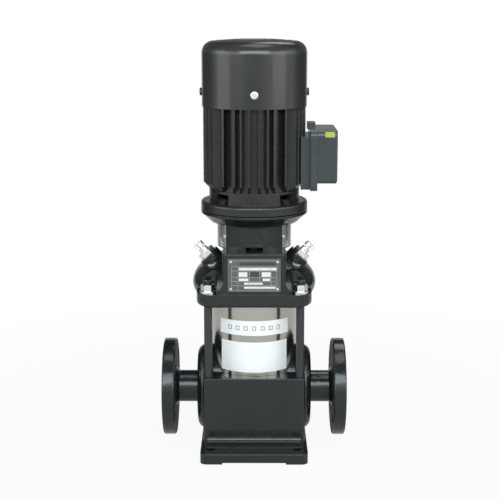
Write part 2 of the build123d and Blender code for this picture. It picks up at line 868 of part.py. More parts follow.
def pump_shaft():
    """Shaft from the end nut to the coupling, cross-drilled for the coupling pin."""
    shaft = rod(shaft_radius, shaft_end() - shaft_tail, pump_shaft_top)
    shaft = chamfer(shaft.edges().filter_by(GeomType.CIRCLE), 0.8)
    pin = Rot(0, 90, 0) * Cylinder(coupling_pin_radius + press_gap, shaft_diameter + 2)
    return shaft - Pos(0, 0, coupling_bottom + pump_shaft_grip / 2) * pin


def shaft_spacers():
    """Sleeves that set the impellers apart and carry the stack's bearing surface."""
    hub_bottoms = [first_stage + stage_pitch * k + impeller_lift for k in range(stage_count)]
    starts = [shaft_end() + end_nut_height] + [bottom + impeller_height for bottom in hub_bottoms]
    collar_bottom = seal_face - seal_face_gap - seal_ring_thickness - seal_collar_length
    ends = hub_bottoms + [collar_bottom]
    return [ring(spacer_radius, shaft_radius + press_gap, start, end) for start, end in zip(starts, ends)]


def shaft_end_nut():
    """Nut that clamps the impellers and spacers on the shaft."""
    nut = hexagon(2 * spacer_radius, end_nut_height) - rod(shaft_radius + press_gap, -1, end_nut_height + 1)
    return Pos(0, 0, shaft_end()) * nut


# ---------------------------------------------------------------- coupling
def coupling_screw_places():
    """Coupling screws as (x, height), two to each side of the shaft."""
    middle = (coupling_bottom + coupling_top) / 2
    return [(x * coupling_screw_offset, middle + z * coupling_screw_spacing / 2)
            for x in (-1, 1) for z in (-1, 1)]


def coupling_half(side):
    """Clamping half of the coupling, front (-1) or rear (+1)."""
    joint = pump_shaft_top + shaft_end_gap / 2
    shape = rod(coupling_radius, coupling_bottom, coupling_top)
    shape = chamfer(shape.edges().filter_by(GeomType.CIRCLE), 1.5)
    shape -= rod(shaft_radius + press_gap, coupling_bottom - 1, joint)
    shape -= rod(motor_shaft_diameter / 2 + press_gap, joint, coupling_top + 1)
    pin = Rot(0, 90, 0) * Cylinder(coupling_pin_radius + slip_gap, coupling_pin_length + 1)
    shape -= Pos(0, 0, coupling_bottom + pump_shaft_grip / 2) * pin
    reach = coupling_radius + 1
    for x, z in coupling_screw_places():
        shape -= front_plane(x, z) * (
            rod(coupling_screw_radius + slip_gap, -reach, reach)
            + rod(coupling_head_radius + running_gap, coupling_head_seat(), reach))
    inner_face = coupling_split / 2
    half = block((-reach, reach), sorted((side * inner_face, side * reach)), (coupling_bottom, coupling_top))
    return shape & half


def coupling_head_seat():
    """Distance from the split plane out to the seat of the screw heads."""
    return coupling_radius * 0.36


def coupling_screws():
    """Socket screws that clamp the halves together."""
    seat = coupling_head_seat()
    screw = rod(coupling_head_radius, seat, seat + coupling_head_height)
    socket = hexagon(coupling_screw_radius * 1.6, coupling_head_height)
    screw -= Pos(0, 0, seat + coupling_head_height / 2) * socket
    screw += rod(coupling_screw_radius, -coupling_radius * 0.55, seat)
    return [front_plane(x, z) * screw for x, z in coupling_screw_places()]


def coupling_pin():
    """Cross pin that holds the pump shaft's height in the coupling."""
    pin = Rot(0, 90, 0) * Cylinder(coupling_pin_radius, coupling_pin_length)
    return Pos(0, 0, coupling_bottom + pump_shaft_grip / 2) * pin


# ---------------------------------------------------------------- motor: turning parts
def motor_shaft():
    """Stepped shaft that carries the rotor core, both bearings and the fan."""
    nose, seat = motor_shaft_diameter / 2, bearing_bore / 2
    core, tail = core_seat_diameter / 2, fan_seat_diameter / 2
    fan_bearing_top = fan_bearing + bearing_width
    return turned_points(
        (0, motor_shaft_bottom), (nose - 1, motor_shaft_bottom), (nose, motor_shaft_bottom + 1),
        (nose, drive_bearing - 1), (seat, drive_bearing - 1), (seat, drive_bearing + bearing_width),
        (core, drive_bearing + bearing_width), (core, fan_bearing),
        (seat, fan_bearing), (seat, fan_bearing_top), (tail, fan_bearing_top + 1),
        (tail, motor_shaft_top - 1), (tail - 1, motor_shaft_top), (0, motor_shaft_top))


def rotor_core():
    """Laminated rotor with its end rings."""
    shape = ring(rotor_radius, core_seat_diameter / 2 + press_gap, rotor_bottom, rotor_top)
    end_outer = rotor_radius - end_ring_inset
    end_ring = ring(end_outer, end_outer - end_ring_wall,
                    rotor_bottom - end_ring_height, rotor_top + end_ring_height)
    return shape + end_ring


def bearing_inner_rings():
    """Inner ring of each sealed ball bearing."""
    return [
        ring(bearing_bore / 2 + bearing_ring, bearing_bore / 2 + press_gap, level, level + bearing_width)
        for level in (drive_bearing, fan_bearing)]


def bearing_outer_rings():
    """Outer ring of each sealed ball bearing, with its two shields."""
    rings = []
    for level in (drive_bearing, fan_bearing):
        shape = ring(bearing_outer, bearing_outer - bearing_ring, level, level + bearing_width)
        for bottom in (level + bearing_shield_inset,
                       level + bearing_width - bearing_shield_inset - bearing_shield):
            shape += ring(bearing_outer - 1, bearing_bore / 2 + bearing_ring + running_gap, bottom,
                          bottom + bearing_shield)
        rings.append(shape)
    return rings


def cooling_fan():
    """Radial fan on the upper end of the motor shaft."""
    hub = ring(fan_hub_radius, fan_seat_diameter / 2 + press_gap, fan_bottom, fan_bottom + fan_hub_length)
    plate = ring(fan_radius, fan_hub_radius - 1, fan_bottom, fan_bottom + fan_plate_thickness)
    blade = block((fan_hub_radius - 1, fan_radius - 1), (-fan_blade_thickness / 2, fan_blade_thickness / 2),
                  (fan_bottom + 1, fan_bottom + fan_blade_height))
    return hub + plate + around(blade, fan_blade_count)


# ---------------------------------------------------------------- motor: still parts
def drive_end_shield():
    """Flanged end shield with pockets for the flange bolts."""
    radius = motor_flange_diameter / 2
    top = motor_face + motor_flange_thickness
    shape = rod(radius, motor_face, top)
    shape = fillet(shape.edges().filter_by(GeomType.CIRCLE).group_by(Axis.Z)[-1], motor_flange_rim_radius)
    shape += rod(shield_radius, motor_face, frame_bottom)
    shape += rod(spigot_radius, motor_face - spigot_height, motor_face + 1)
    inner = shield_radius - shield_wall
    shape -= turned_points(
        (bearing_outer + bearing_wall, drive_bearing + 4), (inner - 8, drive_bearing + 4), (inner, top),
        (inner, frame_bottom + 1), (bearing_outer + bearing_wall, frame_bottom + 1))
    shape -= rod(bearing_outer + bearing_wall + 1, drive_bearing + bearing_width + 1, frame_bottom + 1)
    shape -= rod(bearing_outer + press_gap, drive_bearing, frame_bottom + 1)
    shape -= rod(motor_shaft_diameter / 2 + 1, motor_face - spigot_height - 1, drive_bearing + 1)
    shape -= ring(spigot_radius - 6, coupling_radius + 2, motor_face - spigot_height - 1, motor_face)
    pocket = Pos(motor_bolt_circle / 2, 0, 0) * rod(shield_pocket_radius, top, frame_bottom - 4)
    hole = rod(motor_bolt_diameter / 2 + bolt_clearance, motor_face - 1, top + 1)
    hole = Pos(motor_bolt_circle / 2, 0, 0) * hole
    for angle in motor_bolt_angles:
        shape = shape - Rot(0, 0, angle) * pocket - Rot(0, 0, angle) * hole
    shape += ring(stator_radius - slip_gap, inner - 1, frame_bottom - 3, frame_bottom + 4)
    return shape


def flange_bolts():
    """Hexagon bolts through the end shield into the stool."""
    seat = motor_face + motor_flange_thickness
    bolt = Pos(0, 0, seat) * hexagon(motor_bolt_across_flats, motor_bolt_head_height)
    bolt += rod(motor_bolt_diameter / 2, seat - motor_bolt_length, seat)
    bolt = Pos(motor_bolt_circle / 2, 0, 0) * bolt
    return [Rot(0, 0, angle) * bolt for angle in motor_bolt_angles]


def motor_frame():
    """Finned tube: upright fins in four groups, those of each group parallel to each other."""
    wall = stator_radius + slip_gap + frame_wall
    length = frame_top - frame_bottom
    shape = rod(wall, frame_bottom, frame_top)
    fins = []
    for offset in front_fin_offsets:
        for x in (-offset, offset):
            fins.append(Pos(x, 0, 0) * Box(fin_thickness, 2 * fin_reach, length))
    for k in range(side_fin_count):
        y = (k - (side_fin_count - 1) / 2) * side_fin_pitch
        fins.append(Pos(0, y, 0) * Box(2 * fin_reach, fin_thickness, length))
    envelope = turned_points(
        (0, frame_bottom), (fin_reach - fin_end_slope, frame_bottom),
        (fin_reach, frame_bottom + fin_end_slope), (fin_reach, frame_top), (0, frame_top))
    middle = Pos(0, 0, (frame_bottom + frame_top) / 2)
    shape += (middle * (Part() + fins)) & envelope
    pad_top = box_bottom + box_height
    shape += block((0, fin_reach), (-box_width / 2, box_width / 2), (box_bottom, pad_top)) & envelope
    shape -= rod(stator_radius + slip_gap, frame_bottom - 1, frame_top + 1)
    lead_hole = radial_plane(0, stator_radius - 1, box_bottom + box_height / 2) * rod(
        lead_hole_radius, 0, fin_reach - stator_radius + 2)
    return shape - lead_hole


def stator_core():
    """Laminated stator."""
    return ring(stator_radius, rotor_radius + air_gap, rotor_bottom, rotor_top)


def stator_windings():
    """End turns of the winding, above and below the stator."""
    outer = stator_radius - end_turn_inset
    turns = ring(outer, outer - end_turn_wall, 0, end_turn_height)
    turns = fillet(turns.edges().filter_by(GeomType.CIRCLE).group_by(Axis.Z)[-1], end_turn_wall * 0.35)
    return [Pos(0, 0, rotor_top) * turns, Pos(0, 0, rotor_bottom) * Rot(180, 0, 0) * turns]


def fan_end_shield():
    """End shield under the fan, with four lugs for the cowl screws."""
    outer = stator_radius + slip_gap + frame_wall
    housing_top = fan_bearing + bearing_width + bearing_cover
    shape = rod(outer, frame_top, frame_top + fan_shield_height)
    shape = fillet(shape.edges().filter_by(GeomType.CIRCLE).group_by(Axis.Z)[-1], shield_wall / 2)
    shape += rod(bearing_outer + bearing_wall, frame_top, housing_top)
    shape += ring(stator_radius - slip_gap, stator_radius - shield_wall,
                  frame_top - shield_lip, frame_top + 1)
    shape -= turned_points(
        (bearing_outer + bearing_wall, frame_top - shield_lip - 1),
        (stator_radius - shield_wall, frame_top - shield_lip - 1),
        (stator_radius - shield_wall, frame_top + fan_shield_height - shield_wall),
        (bearing_outer + bearing_wall, frame_top + fan_shield_height - shield_wall))
    shape -= rod(bearing_outer + press_gap, frame_top - 1, fan_bearing + bearing_width)
    shape -= rod(bearing_bore / 2 + 1, frame_top, housing_top + 1)
    reach = cowl_diameter / 2 - cowl_wall - slip_gap
    screw_level = cowl_bottom + cowl_screw_rise
    lug_top = screw_level + fan_shield_lug_top
    lug = block((outer - frame_wall, reach + 1), (-fan_shield_lug_width / 2, fan_shield_lug_width / 2),
                (frame_top + 1, lug_top))
    lug &= rod(reach, frame_top, lug_top)
    shape += around(lug, cowl_screw_count)
    hole = rod(cowl_screw_radius + press_gap, reach - cowl_screw_length, reach + 2)
    for k in range(cowl_screw_count):
        shape -= radial_plane(360 / cowl_screw_count * k, 0, screw_level) * hole
    return shape


def cowl_section(inset, bottom):
    """Half section of the cowl, inset millimetres in from its outside."""
    radius = cowl_diameter / 2 - inset
    top = cowl_top - inset
    shoulder = cowl_shoulder - inset
    edge = top - cowl_crown_rise
    bend = shoulder * (1 - math.sqrt(0.5))
    return (Polyline((0, bottom), (radius, bottom), (radius, edge - shoulder))
            + ThreePointArc((radius, edge - shoulder), (radius - bend, edge - bend),
                            (radius - shoulder, edge))
            + Polyline((radius - shoulder, edge), (cowl_crown_radius, top), (0, top), (0, bottom)))


def fan_cowl():
    """Pressed cowl with rings of slots in its crown."""
    outer = cowl_diameter / 2
    knee = cowl_top - cowl_crown_rise - cowl_shoulder
    shape = turned(cowl_section(0, cowl_bottom)) - turned(cowl_section(cowl_wall, cowl_bottom - 1))
    spokes = Part() + [
        Rot(0, 0, 180 / grille_spoke_count * (2 * k + 1)) * block(
            (0, outer), (-grille_rib / 2, grille_rib / 2), (knee, cowl_top + 1))
        for k in range(grille_spoke_count)]
    for k in range(grille_ring_count):
        inner = grille_inner + k * (grille_slot + grille_rib)
        shape -= ring(inner + grille_slot, inner, knee, cowl_top + 1) - spokes
    hole = rod(cowl_screw_radius + slip_gap, outer - 4, outer + 2)
    for k in range(cowl_screw_count):
        shape -= radial_plane(360 / cowl_screw_count * k, 0, cowl_bottom + cowl_screw_rise) * hole
    return shape


def cowl_screws():
    """Pan-headed screws through the cowl into the end shield."""
    screw = pan_screw(cowl_screw_head, cowl_screw_head_height, cowl_screw_radius, cowl_screw_length)
    level = cowl_bottom + cowl_screw_rise
    return [radial_plane(360 / cowl_screw_count * k, cowl_diameter / 2 + slip_gap, level) * screw
            for k in range(cowl_screw_count)]


# ---------------------------------------------------------------- terminal box
def rim_range():
    """Lower and upper edge of the terminal box's rim."""
    return box_bottom - rim_drop, box_bottom - rim_drop + rim_height


def cover_range():
    """Lower and upper edge of the cover, level with the top of the rim."""
    rim_bottom, rim_top = rim_range()
    return rim_top - cover_height, rim_top


def terminal_box():
    """Box on the side of the frame, open outwards, with a wide rim and a cast lug on top."""
    rim_bottom, rim_top = rim_range()
    root = fin_reach - 8
    shape = block((root, box_reach), (-box_width / 2, box_width / 2), (box_bottom, box_bottom + box_height))
    rim = Pos(box_reach, 0, (rim_bottom + rim_top) / 2) * Rot(0, 90, 0) * extrude(
        RectangleRounded(rim_height, rim_width, cover_corner_radius), rim_thickness)
    shape += rim
    shape += block((box_reach - 4, box_reach + lug_width - 4), (-lug_depth / 2, lug_depth / 2),
                   (rim_top - 2, rim_top + lug_height))
    shape += gland_place() * rod(gland_boss_radius, (box_width - rim_width) / 2 - 1, 0)
    shape -= rod(fin_reach + slip_gap, box_bottom - 5, rim_top + lug_height + 1)
    shape -= block((fin_reach - 1, box_reach + rim_thickness + 1),
                   (-box_width / 2 + box_wall, box_width / 2 - box_wall),
                   (box_bottom + box_wall, box_bottom + box_height - box_wall))
    gland_hole = gland_place() * rod(gland_thread_radius + press_gap, -rim_width / 2, 2)
    return shape - gland_hole - cover_screw_holes()


def gland_place():
    """Plane of the cable entry on the rear edge of the rim."""
    return Plane((box_reach - gland_inset, rim_width / 2, box_bottom + box_height / 2), z_dir=(0, 1, 0))


def cover_screw_places():
    """Cover screws as (y, height), near the corners."""
    low, high = cover_range()
    across = cover_width / 2 - cover_corner_radius + 2
    levels = (low + cover_corner_radius - 2, high - cover_corner_radius + 2)
    return [(y * across, z) for y in (-1, 1) for z in levels]


def cover_screw_holes():
    """Tapped holes in the rim for the cover screws."""
    hole = rod(cover_screw_radius + press_gap, -cover_screw_length, 1)
    face = box_reach + rim_thickness
    return Part() + [Plane((face, y, z), z_dir=(1, 0, 0)) * hole for y, z in cover_screw_places()]


def terminal_cover():
    """Deep cover with rounded corners, stepped at the corners for its screws."""
    low, high = cover_range()
    face = box_reach + rim_thickness
    shape = Pos(face, 0, (low + high) / 2) * Rot(0, 90, 0) * extrude(
        RectangleRounded(cover_height, cover_width, cover_corner_radius), cover_depth)
    shape = fillet(shape.edges().group_by(Axis.X)[-1], cover_wall)
    inside = Pos(face - 1, 0, (low + high) / 2) * Rot(0, 90, 0) * extrude(
        RectangleRounded(cover_height - 2 * cover_wall, cover_width - 2 * cover_wall,
                         cover_corner_radius - cover_wall),
        cover_depth - cover_wall + 1)
    shape -= inside
    for y, z in cover_screw_places():
        place = Plane((face, y, z), z_dir=(1, 0, 0))
        shape += place * rod(cover_screw_head + 2, 0, cover_wall)
        shape -= place * rod(cover_screw_head + 2 * slip_gap, cover_wall, cover_depth + 1)
        shape -= place * rod(cover_screw_radius + slip_gap, -1, cover_wall + 1)
    return shape


def terminal_screws():
    """Screws of the cover."""
    screw = pan_screw(cover_screw_head, cover_screw_head_height, cover_screw_radius, cover_screw_length)
    face = box_reach + rim_thickness + cover_wall
    return [Plane((face, y, z), z_dir=(1, 0, 0)) * screw for y, z in cover_screw_places()]


def terminal_board():
    """Board with six studs on the floor of the box."""
    middle = box_bottom + box_height / 2
    face = fin_reach + slip_gap
    board = block((face, face + board_thickness), (-board_width / 2, board_width / 2),
                  (middle - board_height / 2, middle + board_height / 2))
    for y in (-1, 0, 1):
        for z in (-0.5, 0.5):
            stud = Plane((face + board_thickness, y * stud_pitch, middle + z * stud_pitch), z_dir=(1, 0, 0))
            board += stud * rod(stud_radius, -1, stud_length)
    return board


def cable_gland():
    """Cable entry with a blanking cap, at the back of the terminal box."""
    thread_length = (rim_width - box_width) / 2 + box_wall
    shape = rod(gland_thread_radius, -thread_length, 0) + hexagon(gland_nut_across_flats, gland_nut_height)
    cap = rod(gland_cap_radius, gland_nut_height, gland_nut_height + gland_cap_height)
    cap = fillet(cap.edges().filter_by(GeomType.CIRCLE).group_by(Axis.Z)[-1], gland_cap_height / 3)
    return gland_place() * (shape + cap)


# ---------------------------------------------------------------- write the parts
def all_parts():
    """Every node of the pump by name; a list holds separate solids of one node."""
    parts = {
        "pump_base": pump_base(), "drain_plug": drain_plug(), "outer_sleeve": outer_sleeve(),
        "sleeve_gaskets": sleeve_gaskets(), "sleeve_labels": sleeve_labels(),
        "inlet_bowl": inlet_bowl(), "bottom_bush": bottom_bush(), "neck_rings": neck_rings(),
        "outlet_bowl": outlet_bowl(), "stay_bolts": stay_bolts(), "stay_washers": stay_washers(),
        "stay_nuts": stay_nuts(), "pump_head": pump_head(), "guard_screws": guard_screws(),
        "nameplate": nameplate(), "nameplate_rivets": nameplate_rivets(), "seal_gland": seal_gland(),
        "seal_still_ring": seal_still_ring(), "seal_turning_ring": seal_turning_ring(),
        "seal_collar": seal_collar(), "pump_shaft": pump_shaft(), "shaft_spacers": shaft_spacers(),
        "shaft_end_nut": shaft_end_nut(), "coupling_screws": coupling_screws(),
        "coupling_pin": coupling_pin(), "motor_shaft": motor_shaft(), "rotor_core": rotor_core(),
        "bearing_inner_rings": bearing_inner_rings(), "bearing_outer_rings": bearing_outer_rings(),
        "cooling_fan": cooling_fan(), "drive_end_shield": drive_end_shield(),
        "flange_bolts": flange_bolts(), "motor_frame": motor_frame(), "stator_core": stator_core(),
        "stator_windings": stator_windings(), "fan_end_shield": fan_end_shield(),
        "fan_cowl": fan_cowl(), "cowl_screws": cowl_screws(), "terminal_box": terminal_box(),
        "terminal_cover": terminal_cover(), "terminal_screws": terminal_screws(),
        "terminal_board": terminal_board(), "cable_gland": cable_gland(),
    }
    for k in range(stage_count):
        level = first_stage + stage_pitch * k
        parts[f"stage_chamber_{k + 1}"] = stage_chamber(level)
        parts[f"impeller_{k + 1}"] = impeller(level)
    for name, side in (("left", -1), ("right", 1)):
        parts[f"priming_plug_{name}"] = priming_plug(side)
        parts[f"vent_spindle_{name}"] = vent_spindle(side)
        parts[f"vent_knob_{name}"] = vent_knob(side)
        parts[f"coupling_guard_{name}"] = coupling_guard(90 - 90 * side)
    for name, side in (("front", -1), ("rear", 1)):
        parts[f"coupling_half_{name}"] = coupling_half(side)
    return parts


os.makedirs("parts", exist_ok=True)
for name, shape in all_parts().items():
    if isinstance(shape, list):
        shape = Compound(children=shape)
    export_step(shape, f"parts/{name}.step")
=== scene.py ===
import math

import bmesh
import bpy
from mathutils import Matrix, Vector


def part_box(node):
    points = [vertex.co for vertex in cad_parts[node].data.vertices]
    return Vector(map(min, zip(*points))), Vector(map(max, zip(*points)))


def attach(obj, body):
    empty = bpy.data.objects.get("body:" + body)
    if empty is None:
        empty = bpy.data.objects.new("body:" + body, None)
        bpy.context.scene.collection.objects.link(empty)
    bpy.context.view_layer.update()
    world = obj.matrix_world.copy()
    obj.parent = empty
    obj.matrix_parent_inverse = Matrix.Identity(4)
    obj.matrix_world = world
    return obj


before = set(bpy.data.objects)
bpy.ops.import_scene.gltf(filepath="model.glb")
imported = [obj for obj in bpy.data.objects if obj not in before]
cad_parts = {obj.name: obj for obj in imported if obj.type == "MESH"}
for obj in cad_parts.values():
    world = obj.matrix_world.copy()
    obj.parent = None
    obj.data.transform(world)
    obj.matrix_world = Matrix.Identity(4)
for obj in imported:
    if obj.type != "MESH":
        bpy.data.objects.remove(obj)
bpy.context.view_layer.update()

# ---------------------------------------------------------------- studio
# The pump stands on a plain white floor that runs up into a white backdrop, under one wide soft
# lamp high in front, with a weak fill at each side, one overhead and one behind for the rims.
scene = bpy.context.scene
scene.view_settings.view_transform = "Standard"

camera_height = 0.6672
camera_distance = 1.7663
camera_pitch = math.radians(11.823)
camera_pan = math.radians(0.21)
film_width = 36               # millimetres, as the lens is
lens_length = 84.7512

camera_data = bpy.data.cameras.new("camera")
camera_data.sensor_width = film_width
camera_data.lens = lens_length
camera = bpy.data.objects.new("camera", camera_data)
camera.location = (0, -camera_distance, camera_height)
camera.rotation_euler = (math.pi / 2 - camera_pitch, 0, camera_pan)
scene.collection.objects.link(camera)
scene.camera = camera


class Socket:
    """One output of a node; arithmetic on it adds Math nodes."""

    def __init__(self, tree, output):
        self.tree = tree
        self.output = output

    def _math(self, operation, *values):
        return self.tree.add("Math", {"operation": operation}, *values)

    def __add__(self, other):
        return self._math("ADD", self, other)

    def __sub__(self, other):
        return self._math("SUBTRACT", self, other)

    def __rsub__(self, other):
        return self._math("SUBTRACT", other, self)

    def __mul__(self, other):
        return self._math("MULTIPLY", self, other)

    def __lt__(self, other):
        return self._math("LESS_THAN", self, other)

    def __gt__(self, other):
        return self._math("GREATER_THAN", self, other)

    def __abs__(self):
        return self._math("ABSOLUTE", self)

    __radd__ = __add__
    __rmul__ = __mul__


class Tree:
    """A tree of shader nodes, built node by node."""

    def __init__(self, node_tree):
        self.node_tree = node_tree

    def add(self, kind, settings=None, *values, output=0, **named):
        """Adds a node: settings first, then the values or links of its sockets."""
        node = self.node_tree.nodes.new("ShaderNode" + kind)
        for key, value in (settings or {}).items():
            if key == "stops":
                ramp = node.color_ramp
                while len(ramp.elements) < len(value):
                    ramp.elements.new(0.5)
                for element, (place, colour) in zip(ramp.elements, value):
                    element.position = place
                    element.color = (*colour, 1)
            else:
                setattr(node, key, value)
        for key, value in [*enumerate(values), *named.items()]:
            self.feed(node.inputs[key], value)
        return Socket(self, node.outputs[output])

    def feed(self, socket, value):
        """Links an output to a socket, or sets the socket's own value."""
        if isinstance(value, Socket):
            self.node_tree.links.new(value.output, socket)
        elif socket.type == "RGBA":
            socket.default_value = (*value, 1)
        else:
            socket.default_value = value

    def mix(self, factor, first, second):
        """Blend of two colours."""
        return self.add("Mix", {"data_type": "RGBA"}, output="Result",
                        Factor=factor, A=first, B=second)

    def ramp(self, value, low, high):
        """Value stretched so that low becomes 0 and high becomes 1, clamped."""
        return self.add("MapRange", {}, value, low, high, 0.0, 1.0)

    def number(self, vector, axis):
        """One number of a vector: X, Y or Z."""
        return self.add("SeparateXYZ", {}, vector, output=axis)


class Shader(Tree):
    """A material with one Principled shader."""

    def __init__(self, name, **constants):
        self.material = bpy.data.materials.new(name)
        self.material.use_nodes = True
        super().__init__(self.material.node_tree)
        self.surface = self.node_tree.nodes["Principled BSDF"]
        for socket, value in constants.items():
            self.set(socket.replace("_", " "), value)

    def set(self, name, value):
        """Sets or links one socket of the Principled shader."""
        self.feed(self.surface.inputs[name], value)

    def fed(self, name):
        """What feeds a socket of the Principled shader so far."""
        return Socket(self, self.surface.inputs[name].links[0].from_socket)

    def place(self, scale=(1, 1, 1)):
        """The point on the piece, in metres, stretched by a factor along each axis."""
        point = self.add("TexCoord", output="Object")
        return self.add("VectorMath", {"operation": "MULTIPLY"}, point, scale)

    def along(self, axis):
        """One coordinate of the point on the piece, in metres: X across, Y to the back, Z up."""
        return self.number(self.place(), axis)

    def distance(self, axes=(1, 1, 0), centre=(0, 0, 0)):
        """Distance from a line or a point, in metres; a 0 in axes leaves that direction out."""
        point = self.add("VectorMath", {"operation": "SUBTRACT"}, self.place(axes), centre)
        return self.add("VectorMath", {"operation": "LENGTH"}, point, output="Value")

    def noise(self, scale, detail=2.0, roughness=0.5, stretch=(1, 1, 1)):
        """Soft noise from 0 to 1, scale in waves to the metre."""
        return self.add("TexNoise", {}, Vector=self.place(stretch),
                        Scale=scale, Detail=detail, Roughness=roughness)

    def tone(self, low, high, scale, **grain):
        """Base colour that drifts between two with soft noise."""
        self.set("Base Color", self.mix(self.noise(scale, **grain), low, high))

    def bump(self, height, distance, edge=0.0):
        """Relief: a height from 0 to 1 times a distance, over edges softened by a radius."""
        sockets = {"Distance": distance, "Height": height}
        if edge:
            sockets["Normal"] = self.add("Bevel", {"samples": 6}, Radius=edge)
        self.set("Normal", self.add("Bump", {}, **sockets))


def lamp(name, place, target, width, height, radiance, colour=(1, 1, 1)):
    """Soft rectangular lamp aimed at a point; radiance as a multiple of plain white."""
    data = bpy.data.lights.new(name, "AREA")
    data.shape = "RECTANGLE"
    data.size, data.size_y = width, height
    data.energy = radiance * math.pi * width * height
    data.color = colour
    light = bpy.data.objects.new(name, data)
    light.location = place
    light.visible_camera = False
    light.rotation_euler = (Vector(target) - Vector(place)).to_track_quat("-Z", "Y").to_euler()
    scene.collection.objects.link(light)


pump_middle = (0, 0, 0.3)
pump_upper = (0, 0, 0.4)
daylight = (0.84, 0.94, 1.0)
lamp("front", (0, -1.95, 1.36), pump_upper, 2.5, 0.9, 5.8, daylight)
lamp("fill_right", (1.7, -1.2, 0.9), pump_middle, 1.2, 1.2, 1.4)
lamp("fill_left", (-1.9, -0.7, 0.8), pump_middle, 1.2, 1.2, 1.2)
lamp("top", (0.1, -0.1, 2.2), pump_middle, 1.0, 1.0, 2.0)
lamp("rim", (0.5, 1.4, 2.2), pump_middle, 1.0, 1.0, 2.5)

white = (1, 1, 1)
ambient = (0.36, 0.36, 0.36)
round_room = (            # what gloss reflects, from the front, past the sides, to the back
    (0.0, (0.50, 0.52, 0.52)), (0.015, (0.62, 0.63, 0.62)), (0.07, (1.20, 1.20, 1.12)),
    (0.28, (1.25, 1.25, 1.20)), (0.50, (1.00, 1.05, 1.10)), (0.60, (0.34, 0.36, 0.36)),
    (0.70, (0.07, 0.075, 0.075)), (0.96, (0.07, 0.075, 0.075)))
floor_to_ceiling = (      # and how strongly, with a row of windows a little above the middle
    (0.0, (0.3, 0.3, 0.3)), (0.42, (0.5, 0.5, 0.5)), (0.49, (0.92, 0.92, 0.92)),
    (0.54, (2.0, 2.1, 2.2)), (0.66, (1.9, 2.0, 2.1)), (0.76, (0.35, 0.36, 0.37)),
    (0.96, (0.2, 0.2, 0.2)), (1.0, (0.3, 0.3, 0.3)))

world = bpy.data.worlds.new("studio")
world.use_nodes = True
room = Tree(world.node_tree)
facing = room.add("TexCoord", output="Generated")
to_back = room.ramp(room.number(facing, "Y"), -1.0, 1.0)
to_top = room.ramp(room.number(facing, "Z"), -1.0, 1.0)
surroundings = room.add("VectorMath", {"operation": "MULTIPLY"},
                        room.add("ValToRGB", {"stops": round_room}, to_back),
                        room.add("ValToRGB", {"stops": floor_to_ceiling}, to_top))
is_glossy = room.add("LightPath", output="Is Glossy Ray")
shows_white = (room.add("LightPath", output="Is Camera Ray")
               + room.add("LightPath", output="Is Transmission Ray"))
room.feed(room.node_tree.nodes["Background"].inputs["Color"],
          room.mix(shows_white, room.mix(is_glossy, ambient, surroundings), white))
scene.world = world


def new_piece(name, bm, material, body=None):
    """Adds a mesh to the scene under a name, with its material, on a body of the frame."""
    mesh = bpy.data.meshes.new(name)
    bmesh.ops.recalc_face_normals(bm, faces=bm.faces)
    bm.to_mesh(mesh)
    bm.free()
    mesh.materials.append(material)
    piece = bpy.data.objects.new(name, mesh)
    scene.collection.objects.link(piece)
    if body:
        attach(piece, body)
    return piece


def sweep_floor():
    """Floor that bends up into the backdrop, as one sheet."""
    front, back, bend, height, half_width, steps = -2.6, 2.2, 0.7, 0.8, 1.15, 12
    angles = [math.pi / 2 * k / steps for k in range(1, steps + 1)]
    line = [(front, 0), (back - bend, 0)]
    line += [(back - bend + bend * math.sin(a), bend - bend * math.cos(a)) for a in angles]
    line.append((back, height))
    bm = bmesh.new()
    rows = [[bm.verts.new((x, y, z)) for x in (-half_width, half_width)] for y, z in line]
    for low, high in zip(rows, rows[1:]):
        bm.faces.new((low[0], low[1], high[1], high[0]))
    return bm


camera_share = 0.93           # of the paper shows plain white to the camera near the pump, and
mirror_share = 0.35           # of it in reflections; the rest takes light and shadow
shadow_reach = 0.35           # metres from the pump, from where the paper fades
plain_reach = 0.9             # to plain white here
paper = Shader("studio_paper", Base_Color=(0.62, 0.62, 0.62), Roughness=0.9)
far_off = paper.ramp(paper.distance(), shadow_reach, plain_reach)
seen = (paper.add("LightPath", output="Is Camera Ray")
        * (far_off * (1 - camera_share) + camera_share)
        + paper.add("LightPath", output="Is Glossy Ray") * mirror_share)
paper_blend = paper.add("MixShader", {}, seen, Socket(paper, paper.surface.outputs[0]),
                        paper.add("Emission", Color=white, Strength=1.0))
paper.feed(paper.node_tree.nodes["Material Output"].inputs["Surface"], paper_blend)
floor = new_piece("floor", sweep_floor(), paper.material)

# ---------------------------------------------------------------- castings
# The foot with its necks and flanges is one grey-iron casting, and the head with its motor stool
# another, both under thick gloss black enamel. The sealing faces of the flanges are turned bare,
# and the backs of the flanges keep the rough skin of the mould under the paint.
port_height = 0.080
sealing_radius = 0.051
face_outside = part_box("pump_base")[1].x
turned_face = face_outside - 0.0002
flange_rim = face_outside - 0.006
behind_flange = face_outside - 0.030
square_on = 0.9               # a face looks along the ports when its direction passes this
skin_roughness = 0.4
bare_iron = (0.30, 0.295, 0.285)
# The slight teal tint in this black is a painted reflection of cool surroundings.
enamel_black = (0.0105, 0.0135, 0.0135)


def dress(material, *names):
    """Gives a material to nodes of the frame."""
    for name in names:
        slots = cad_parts[name].data.materials
        slots.clear()
        slots.append(material)


def enamel(name, colour, roughness, lump, peel, edge):
    """Enamel over lumps of the casting, with finer orange peel and softened edges, in metres."""
    paint = Shader(name)
    relief = lump + peel
    paint.tone([0.75 * c for c in colour], [1.3 * c for c in colour], 22, detail=4, roughness=0.6)
    paint.set("Roughness", paint.noise(45, detail=3) * 0.12 + roughness - 0.06)
    paint.bump(paint.noise(130) * (lump / relief) + paint.noise(650, detail=1) * (peel / relief),
               relief, edge)
    return paint


